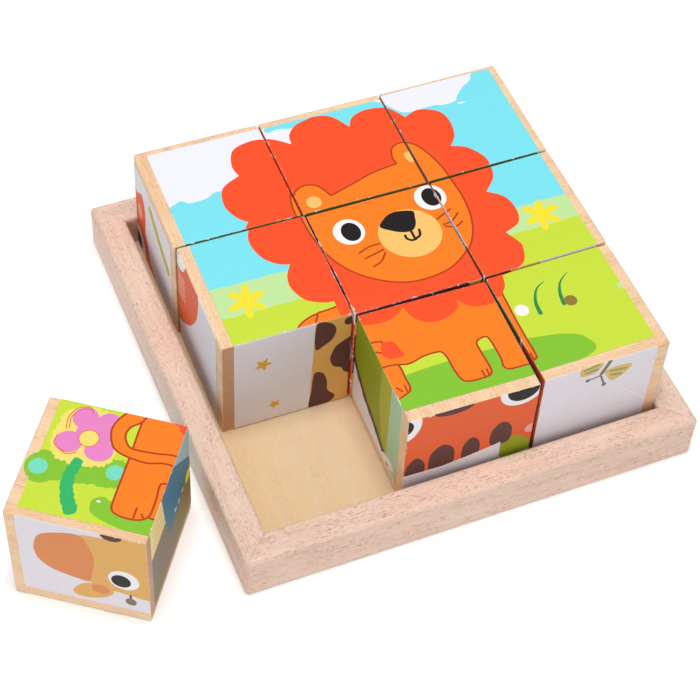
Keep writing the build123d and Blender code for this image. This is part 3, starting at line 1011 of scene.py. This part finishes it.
def make_sheet(name, face, node, sizes, inks, materials):
    """The printed paper of one face of a cube, as its own object with its place in its mesh."""
    outwards, to_right, upwards, middle = face_axes(name, face)
    half = block_half(name)
    flat = half - sizes.edge_rounding
    left, right, down, up = paper_sides(name, face, node, sizes)
    picture, column, row, upside_down = picture_on(name, face)
    sense = -1 if upside_down else 1
    edge = 2 * half
    print_shift = PRINT_SHIFTS.get((name, face), 0.0)

    def to_sheet(point):
        return (
            sense * (point[0] - column - 0.5 + print_shift) * edge,
            sense * (point[1] - row - 0.5) * edge,
        )

    outlines = [rounded_rectangle(left, right, down, up, sizes.corner_cut)]
    if (name, face) in ROUND_TABS:
        x, y, radius = ROUND_TABS[name, face]
        outlines.append(oval(x * MM, y * MM, radius * MM))
        left = min(left, (x - radius) * MM)
    shapes = [([to_sheet(p) for p in shape], ink) for shape, ink in PICTURES[picture]()]
    shapes = [(shape, ink) for shape, ink in shapes if meets(shape, left, right, down, up)]
    folds = fold_lines(left, right, down, up, flat, sizes.fold_steps)
    points, triangles = cut_sheet(outlines, [shape for shape, _ in shapes], folds)
    centres = points[triangles].mean(axis=1)
    colours = np.ones((len(triangles), 4))
    for shape, ink in shapes:
        colours[inside(centres, shape), :3] = getattr(inks, ink)

    placed = []
    for u, v in points:
        x, y, drop = folded(u, v, flat, sizes.edge_rounding)
        placed.append(middle + to_right * x + upwards * y + outwards * (half - drop))
    used = sorted(set(triangles.ravel()))
    number = {old: new for new, old in enumerate(used)}
    piece_name = f"paper_{name}_{face}"
    mesh = bpy.data.meshes.new(piece_name)
    mesh.from_pydata([placed[i] for i in used], [], [[number[i] for i in t] for t in triangles])
    printed = mesh.color_attributes.new("print", "BYTE_COLOR", "CORNER")
    printed.data.foreach_set("color_srgb", np.repeat(colours, 3, axis=0).ravel())
    layer = mesh.uv_layers.new(name="sheet")
    corners = points[triangles.ravel()] / (2 * (flat + sizes.paper_wrap)) + 0.5
    layer.data.foreach_set("uv", corners.ravel())
    piece = bpy.data.objects.new(piece_name, mesh)
    bpy.context.collection.objects.link(piece)
    for material in materials:
        mesh.materials.append(material)
    thicken(piece, sizes.paper_thickness)
    return piece


def thicken(piece, thickness):
    """Gives a sheet its thickness, inwards, with its cut edge and its back in the second material."""
    select_only(piece)
    shell = piece.modifiers.new("thickness", "SOLIDIFY")
    shell.thickness = thickness
    shell.offset = -1
    shell.material_offset = 1
    shell.material_offset_rim = 1
    bpy.ops.object.modifier_apply(modifier=shell.name)
    bpy.ops.object.shade_smooth_by_angle(angle=math.radians(40))


def select_only(piece):
    """Makes a piece the selected and active object."""
    bpy.ops.object.select_all(action="DESELECT")
    piece.select_set(True)
    bpy.context.view_layer.objects.active = piece


# ---------------------------------------------------------------------------------------------
# Materials
# ---------------------------------------------------------------------------------------------

def node(tree, kind, settings=None, **inputs):
    """Adds a node, sets its settings, and gives its inputs values or links."""
    added = tree.nodes.new(kind)
    for name, value in (settings or {}).items():
        setattr(added, name, value)
    for name, value in inputs.items():
        feed(tree, added.inputs[name.replace("_", " ")], value)
    return added


def feed(tree, socket, value):
    """Gives an input a value, or links it to an output."""
    if isinstance(value, bpy.types.NodeSocket):
        tree.links.new(value, socket)
    else:
        socket.default_value = value


def maths(tree, operation, *values, clamp=False):
    """A Math node's result."""
    added = node(tree, "ShaderNodeMath", {"operation": operation, "use_clamp": clamp})
    for socket, value in zip(added.inputs, values):
        feed(tree, socket, value)
    return added.outputs[0]


def stretched(tree, vector, scale):
    """The vector times a scale for each axis."""
    added = node(tree, "ShaderNodeVectorMath", {"operation": "MULTIPLY"})
    feed(tree, added.inputs[0], vector)
    feed(tree, added.inputs[1], scale)
    return added.outputs[0]


def noise(tree, vector, scale=1.0, detail=2.0, roughness=0.5):
    """A noise texture's value."""
    return node(tree, "ShaderNodeTexNoise", Vector=vector, Scale=scale, Detail=detail,
                Roughness=roughness).outputs[0]


def between(tree, value, low, high):
    """0 where value is under low, 1 where it is over high, smooth between."""
    return node(
        tree, "ShaderNodeMapRange", {"interpolation_type": "SMOOTHSTEP"},
        Value=value, From_Min=low, From_Max=high).outputs[0]


def mixed(tree, share, first, second):
    """Two colours mixed."""
    added = node(tree, "ShaderNodeMix", {"data_type": "RGBA"})
    feed(tree, added.inputs[0], share)
    feed(tree, added.inputs[6], first)
    feed(tree, added.inputs[7], second)
    return added.outputs[2]


def new_group(name, inputs, outputs):
    """An empty shader node group with named inputs and outputs: (group, its inputs, its outputs)."""
    tree = bpy.data.node_groups.new(name, "ShaderNodeTree")
    for socket_name, kind, value in inputs:
        socket = tree.interface.new_socket(socket_name, in_out="INPUT", socket_type=kind)
        if value is not None:
            socket.default_value = value
    for socket_name, kind in outputs:
        tree.interface.new_socket(socket_name, in_out="OUTPUT", socket_type=kind)
    start = tree.nodes.new("NodeGroupInput")
    end = tree.nodes.new("NodeGroupOutput")
    return tree, start.outputs, end.inputs


def wood_grain_group():
    """Beech and veneer: bands, fine streaks and short dark flecks, with the grain along X, in mm; faces cut
    across the grain are darkened towards the fleck colour, partly as darker end grain and partly as painted
    shade.
    """
    tree, given, result = new_group(
        "Wood grain",
        [
            ("Vector", "NodeSocketVector", None),
            ("Pale wood", "NodeSocketColor", (0.8, 0.6, 0.4, 1)),
            ("Dark wood", "NodeSocketColor", (0.6, 0.4, 0.2, 1)),
            ("Fleck", "NodeSocketColor", (0.3, 0.2, 0.1, 1)),
            ("Bands", "NodeSocketFloat", 0.5),
            ("Flecks", "NodeSocketFloat", 0.5),
            ("End grain from", "NodeSocketFloat", 1000.0),
            ("Centred", "NodeSocketVector", None),
        ],
        [
            ("Color", "NodeSocketColor"),
            ("Roughness", "NodeSocketFloat"),
            ("Height", "NodeSocketFloat"),
        ],
    )
    vector = given["Vector"]
    bands = between(tree, noise(tree, stretched(tree, vector, (0.012, 0.20, 0.20)), detail=2.0), 0.36, 0.64)
    streaks = noise(tree, stretched(tree, vector, (0.07, 2.1, 2.1)), detail=3.0, roughness=0.62)
    clouds = noise(tree, stretched(tree, vector, (0.05, 0.09, 0.09)), detail=1.0)
    pores = noise(tree, stretched(tree, vector, (0.85, 5.4, 5.4)), detail=2.0)
    patches = between(tree, noise(tree, stretched(tree, vector, (0.09, 0.30, 0.30)), detail=1.0), 0.20, 0.62)
    flecks = maths(tree, "MULTIPLY", between(tree, pores, 0.54, 0.70), patches)
    dark = maths(tree, "MULTIPLY", bands, given["Bands"])
    fine = maths(tree, "MULTIPLY", maths(tree, "SUBTRACT", streaks, 0.5), 1.5)
    soft = maths(tree, "MULTIPLY", maths(tree, "SUBTRACT", clouds, 0.5), 0.8)
    share = maths(tree, "ADD", dark, maths(tree, "ADD", fine, soft), clamp=True)
    plain = mixed(tree, share, given["Pale wood"], given["Dark wood"])
    marked = maths(tree, "MULTIPLY", flecks, given["Flecks"], clamp=True)
    along = node(tree, "ShaderNodeSeparateXYZ", Vector=given["Centred"]).outputs[0]
    past = maths(tree, "SUBTRACT", maths(tree, "ABSOLUTE", along), given["End grain from"])
    # Faces cut across the grain, darkened towards the fleck colour: darker end grain, and painted shade for
    # the faces that lie in shade.
    end_grain_and_shade = maths(tree, "MULTIPLY", between(tree, past, -0.08, 0.04), 0.88)
    grained = mixed(tree, marked, plain, given["Fleck"])
    feed(tree, result["Color"], mixed(tree, end_grain_and_shade, grained, given["Fleck"]))
    feed(tree, result["Roughness"], maths(tree, "ADD", maths(tree, "MULTIPLY", streaks, 0.16), 0.42))
    feed(tree, result["Height"], maths(tree, "SUBTRACT", streaks, flecks))
    return tree


def worn_print_group():
    """A printed sheet: the ink with a faint mottle, rubbed off to bare paper along its edges."""
    tree, given, result = new_group(
        "Worn print",
        [
            ("Vector", "NodeSocketVector", None),
            ("Sheet", "NodeSocketVector", None),
            ("Print", "NodeSocketColor", (0.5, 0.5, 0.5, 1)),
            ("Paper", "NodeSocketColor", (0.9, 0.9, 0.9, 1)),
            ("Wear", "NodeSocketFloat", 1.0),
        ],
        [
            ("Color", "NodeSocketColor"),
            ("Roughness", "NodeSocketFloat"),
            ("Height", "NodeSocketFloat"),
        ],
    )
    vector = given["Vector"]
    split = node(tree, "ShaderNodeSeparateXYZ", Vector=given["Sheet"])
    across = maths(tree, "MINIMUM", split.outputs[0], maths(tree, "SUBTRACT", 1.0, split.outputs[0]))
    along = maths(tree, "MINIMUM", split.outputs[1], maths(tree, "SUBTRACT", 1.0, split.outputs[1]))
    from_edge = maths(tree, "MULTIPLY", maths(tree, "MINIMUM", across, along), WEAR_SCALE)
    from_corner = maths(tree, "MULTIPLY", maths(tree, "ADD", across, along), WEAR_SCALE)
    coarse = noise(tree, vector, scale=0.55, detail=3.0, roughness=0.65)
    fine = noise(tree, vector, scale=2.6, detail=2.0, roughness=0.6)
    ragged = maths(tree, "MULTIPLY", maths(tree, "SUBTRACT", coarse, 0.60), 2.0)
    ragged = maths(tree, "ADD", ragged, maths(tree, "MULTIPLY", maths(tree, "SUBTRACT", fine, 0.5), 0.8))
    rubbed = between(tree, maths(tree, "SUBTRACT", ragged, from_edge), -0.10, 0.05)
    chipped = between(tree, maths(tree, "SUBTRACT", maths(tree, "ADD", ragged, 0.15), from_corner), -0.1, 0.1)
    worn = maths(tree, "MULTIPLY", maths(tree, "MAXIMUM", rubbed, chipped), given["Wear"], clamp=True)
    mottle = noise(tree, vector, scale=1.4, detail=2.0)
    shade = maths(tree, "ADD", maths(tree, "MULTIPLY", mottle, 0.10), 0.95)
    tinted = node(tree, "ShaderNodeMix", {"data_type": "RGBA", "blend_type": "MULTIPLY"})
    feed(tree, tinted.inputs[0], 1.0)
    feed(tree, tinted.inputs[6], given["Print"])
    grey = node(tree, "ShaderNodeCombineColor", Red=shade, Green=shade, Blue=shade)
    feed(tree, tinted.inputs[7], grey.outputs[0])
    feed(tree, result["Color"], mixed(tree, worn, tinted.outputs[2], given["Paper"]))
    feed(tree, result["Roughness"], maths(tree, "ADD", maths(tree, "MULTIPLY", worn, 0.30),
                                          maths(tree, "ADD", maths(tree, "MULTIPLY", mottle, 0.10), 0.45)))
    fibre = noise(tree, vector, scale=7.0, detail=2.0)
    feed(tree, result["Height"], maths(tree, "SUBTRACT", maths(tree, "MULTIPLY", fibre, 0.35), worn))
    return tree


def shared_group(name, build):
    """A node group that is built the first time it is asked for."""
    return bpy.data.node_groups.get(name) or build()


def new_material(name):
    """A material with its tree and its shader."""
    material = bpy.data.materials.new(name)
    material.use_nodes = True
    tree = material.node_tree
    return material, tree, tree.nodes["Principled BSDF"]


def opaque(colour):
    """A colour with its alpha."""
    return (*colour, 1.0)


def millimetres(tree, origin=(0, 0, 0), turn=0.0, shift=(0, 0, 0)):
    """Object coordinates in millimetres from origin, turned about Z so that the grain is along X."""
    place = node(tree, "ShaderNodeTexCoord").outputs["Object"]
    centred = node(tree, "ShaderNodeMapping", {"vector_type": "TEXTURE"}, Vector=place)
    centred.inputs["Location"].default_value = origin
    centred.inputs["Rotation"].default_value = (0, 0, turn)
    centred.inputs["Scale"].default_value = (MM, MM, MM)
    moved = node(tree, "ShaderNodeVectorMath", {"operation": "ADD"})
    feed(tree, moved.inputs[0], centred.outputs[0])
    feed(tree, moved.inputs[1], shift)
    return moved.outputs[0]


def surface(tree, shader, finish, bump_distance, strength=1.0):
    """Feeds a group's colour, roughness and height to the shader."""
    bump = node(tree, "ShaderNodeBump", Strength=strength, Distance=bump_distance,
                Height=finish.outputs["Height"])
    feed(tree, shader.inputs["Base Color"], finish.outputs["Color"])
    feed(tree, shader.inputs["Roughness"], finish.outputs["Roughness"])
    feed(tree, shader.inputs["Normal"], bump.outputs[0])


def wood_material(name, pale, dark, fleck_and_end_shade, vector_settings, bands, flecks, end_shade_from=1000.0, bump=0.04 * MM):
    """A wood whose grain follows X after the given turn, darker where it is cut across, from the given
    distance in mm: darker end grain with painted shade in it.
    """
    material, tree, shader = new_material(name)
    finish = tree.nodes.new("ShaderNodeGroup")
    finish.node_tree = shared_group("Wood grain", wood_grain_group)
    feed(tree, finish.inputs["Vector"], millimetres(tree, **vector_settings))
    feed(tree, finish.inputs["Centred"], millimetres(tree, **{**vector_settings, "shift": (0, 0, 0)}))
    feed(tree, finish.inputs["End grain from"], end_shade_from)
    feed(tree, finish.inputs["Pale wood"], opaque(pale))
    feed(tree, finish.inputs["Dark wood"], opaque(dark))
    feed(tree, finish.inputs["Fleck"], opaque(fleck_and_end_shade))
    feed(tree, finish.inputs["Bands"], bands)
    feed(tree, finish.inputs["Flecks"], flecks)
    surface(tree, shader, finish, bump)
    shader.inputs["Specular IOR Level"].default_value = 0.35
    return material


def print_material(woods):
    """Satin printed paper that reads each sheet's own colours."""
    material, tree, shader = new_material("printed_paper")
    finish = tree.nodes.new("ShaderNodeGroup")
    finish.node_tree = shared_group("Worn print", worn_print_group)
    feed(tree, finish.inputs["Vector"], millimetres(tree))
    feed(tree, finish.inputs["Sheet"], node(tree, "ShaderNodeUVMap", {"uv_map": "sheet"}).outputs[0])
    printed = node(tree, "ShaderNodeVertexColor", {"layer_name": "print"})
    feed(tree, finish.inputs["Print"], printed.outputs["Color"])
    feed(tree, finish.inputs["Paper"], opaque(woods.paper))
    surface(tree, shader, finish, 0.02 * MM)
    shader.inputs["Specular IOR Level"].default_value = 0.22
    return material


def bare_paper_material(woods):
    """The cut edge and the back of a sheet: bare paper with its fibres."""
    material, tree, shader = new_material("bare_paper")
    vector = millimetres(tree)
    fibres = noise(tree, vector, scale=6.0, detail=3.0)
    dull = tuple(0.8 * part for part in woods.paper)
    feed(tree, shader.inputs["Base Color"], mixed(tree, fibres, opaque(woods.paper), opaque(dull)))
    feed(tree, shader.inputs["Roughness"], maths(tree, "ADD", maths(tree, "MULTIPLY", fibres, 0.1), 0.75))
    bump = node(tree, "ShaderNodeBump", Strength=1.0, Distance=0.01 * MM, Height=fibres)
    feed(tree, shader.inputs["Normal"], bump.outputs[0])
    return material


def give(node_name, material):
    """Puts a material on every slot of a CAD node."""
    for material_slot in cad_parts[node_name].material_slots:
        material_slot.material = material


# ---------------------------------------------------------------------------------------------
# Operators
# ---------------------------------------------------------------------------------------------

class PUZZLE_OT_rails(bpy.types.Operator):
    """Finishes the four beech rails, each with its grain along its own length"""

    bl_idname = "puzzle.rails"
    bl_label = "Finish the rails"

    def execute(self, context):
        woods = context.scene.puzzle_woods
        for number, (rail, turn) in enumerate(RAILS.items()):
            settings = {"turn": math.radians(turn), "shift": (57.0 * number, 31.0 * number, 13.0 * number)}
            give(rail, wood_material(
                f"beech_{rail}", woods.rail_pale, woods.rail_dark, woods.fleck_and_end_shade, settings, 0.50, 0.85))
        return {"FINISHED"}


class PUZZLE_OT_floor(bpy.types.Operator):
    """Finishes the tray's plywood floor"""

    bl_idname = "puzzle.tray_floor"
    bl_label = "Finish the floor"

    def execute(self, context):
        woods = context.scene.puzzle_woods
        settings = {"turn": math.radians(90), "shift": (11.0, 47.0, 5.0)}
        give("tray_floor", wood_material(
            "plywood", woods.ply_pale, woods.ply_dark, woods.ply_dark, settings, 0.45, 0.15))
        return {"FINISHED"}


class PUZZLE_OT_blocks(bpy.types.Operator):
    """Finishes the nine beech cubes, each cut from another place of the wood"""

    bl_idname = "puzzle.blocks"
    bl_label = "Finish the cubes"

    def execute(self, context):
        woods = context.scene.puzzle_woods
        for number, name in enumerate(BLOCKS):
            middle, right, _, _ = block_axes(name)
            across = math.pi / 2 if name in GRAIN_TO_BACK else 0.0
            settings = {
                "origin": middle,
                "turn": math.atan2(right.y, right.x) + across,
                "shift": (43.0 * number, 29.0 * number, 17.0 * number),
            }
            # The faces across each cube's grain are darkened: darker end grain, with painted shade.
            give(f"block_{name}", wood_material(
                f"beech_{name}", woods.cube_pale, woods.cube_dark, woods.fleck_and_end_shade, settings, 0.40, 0.45,
                block_half(name) / MM - 0.15))
        return {"FINISHED"}


class PUZZLE_OT_papers(bpy.types.Operator):
    """Makes the printed papers, six to a cube"""

    bl_idname = "puzzle.papers"
    bl_label = "Make the papers"

    def execute(self, context):
        scene = context.scene
        materials = (print_material(scene.puzzle_woods), bare_paper_material(scene.puzzle_woods))
        for name in BLOCKS:
            for ending, faces in LABEL_NODES.items():
                cad_node = f"label_{name}_{ending}"
                for face in faces:
                    piece = make_sheet(name, face, cad_node, scene.puzzle_sizes, scene.puzzle_inks, materials)
                    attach(piece, f"block_{name}")
                    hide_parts(cad_node)
        return {"FINISHED"}


class PUZZLE_OT_stage(bpy.types.Operator):
    """Adds the table, the lights and the camera"""

    bl_idname = "puzzle.stage"
    bl_label = "Set the stage"

    def execute(self, context):
        stage = context.scene.puzzle_stage
        low, high = Vector(cad_box[0]), Vector(cad_box[1])
        middle = (low + high) / 2
        bpy.ops.object.select_all(action="DESELECT")
        bpy.ops.mesh.primitive_plane_add(size=6.0, location=(middle.x, middle.y, low.z - 0.05 * MM))
        table = context.object
        table.name = "table"
        bpy.ops.object.transform_apply(location=True)
        table.data.materials.append(table_material(stage.floor_colour))
        add_light("key", middle + Vector(KEY_PLACE), middle, KEY_EDGE, stage.key_power)
        add_light("fill", middle + Vector(FILL_PLACE), middle, FILL_EDGE, stage.fill_power)
        sky = context.scene.world or bpy.data.worlds.new("sky")
        context.scene.world = sky
        sky.use_nodes = True
        sky.node_tree.nodes["Background"].inputs["Color"].default_value = (1, 1, 1, 1)
        sky.node_tree.nodes["Background"].inputs["Strength"].default_value = stage.sky_strength
        context.scene.view_settings.view_transform = "Standard"
        add_camera(stage, middle)
        return {"FINISHED"}


def table_material(colour):
    """A plain pale table top that glows a little: painted light that lifts it to white and thins the shadows
    cast on it.
    """
    material, tree, shader = new_material("table")
    grain = noise(tree, millimetres(tree), scale=0.02, detail=2.0)
    pale = mixed(tree, grain, opaque(colour), opaque(tuple(0.97 * part for part in colour)))
    feed(tree, shader.inputs["Base Color"], pale)
    shader.inputs["Roughness"].default_value = 0.9
    shader.inputs["Emission Color"].default_value = (1, 1, 1, 1)
    shader.inputs["Emission Strength"].default_value = TABLE_GLOW
    return material


def add_light(name, place, target, size, power):
    """A square soft light that shines at the target."""
    bpy.ops.object.light_add(type="AREA", location=place)
    light = bpy.context.object
    light.name = name
    light.data.size = size
    light.data.energy = power
    light.rotation_euler = (target - place).to_track_quat("-Z", "Y").to_euler()


def add_camera(stage, middle):
    """The camera, at the angle the puzzle is usually shown from."""
    target = Vector((middle.x + 11.4 * MM, middle.y - 12.0 * MM, 17.5 * MM))
    backwards = Vector((
        math.sin(stage.azimuth) * math.cos(stage.elevation),
        -math.cos(stage.azimuth) * math.cos(stage.elevation),
        math.sin(stage.elevation),
    ))
    turned = (
        Matrix.Rotation(stage.azimuth, 3, "Z")
        @ Matrix.Rotation(math.pi / 2 - stage.elevation, 3, "X")
        @ Matrix.Rotation(stage.roll, 3, "Z")
    )
    bpy.ops.object.camera_add(location=target + stage.distance * backwards, rotation=turned.to_euler())
    camera = bpy.context.object
    camera.name = "camera"
    camera.data.lens = stage.focal_length
    camera.data.sensor_width = 36.0
    camera.data.clip_start = 0.01
    bpy.context.scene.camera = camera


class PUZZLE_PT_panel(bpy.types.Panel):
    """Lists the steps that finish the puzzle"""

    bl_idname = "PUZZLE_PT_panel"
    bl_label = "Picture block puzzle"
    bl_space_type = "VIEW_3D"
    bl_region_type = "UI"
    bl_category = "Puzzle"

    def draw(self, context):
        for operator in OPERATORS:
            self.layout.operator(operator.bl_idname)
        for group in (context.scene.puzzle_sizes, context.scene.puzzle_woods, context.scene.puzzle_stage):
            for name in group.__annotations__:
                self.layout.prop(group, name)


OPERATORS = (PUZZLE_OT_rails, PUZZLE_OT_floor, PUZZLE_OT_blocks, PUZZLE_OT_papers, PUZZLE_OT_stage)
GROUPS = {
    "puzzle_sizes": PuzzleSizes,
    "puzzle_woods": PuzzleWoods,
    "puzzle_inks": PuzzleInks,
    "puzzle_stage": PuzzleStage,
}


def register():
    for added in (*GROUPS.values(), *OPERATORS, PUZZLE_PT_panel):
        bpy.utils.register_class(added)
    for name, group in GROUPS.items():
        setattr(bpy.types.Scene, name, PointerProperty(type=group))


def unregister():
    for name in GROUPS:
        delattr(bpy.types.Scene, name)
    for removed in (PUZZLE_PT_panel, *OPERATORS, *GROUPS.values()):
        bpy.utils.unregister_class(removed)


def main():
    """Runs every step in order."""
    register()
    bpy.ops.puzzle.rails()
    bpy.ops.puzzle.tray_floor()
    bpy.ops.puzzle.blocks()
    bpy.ops.puzzle.papers()
    bpy.ops.puzzle.stage()


if __name__ == "__main__":
    main()
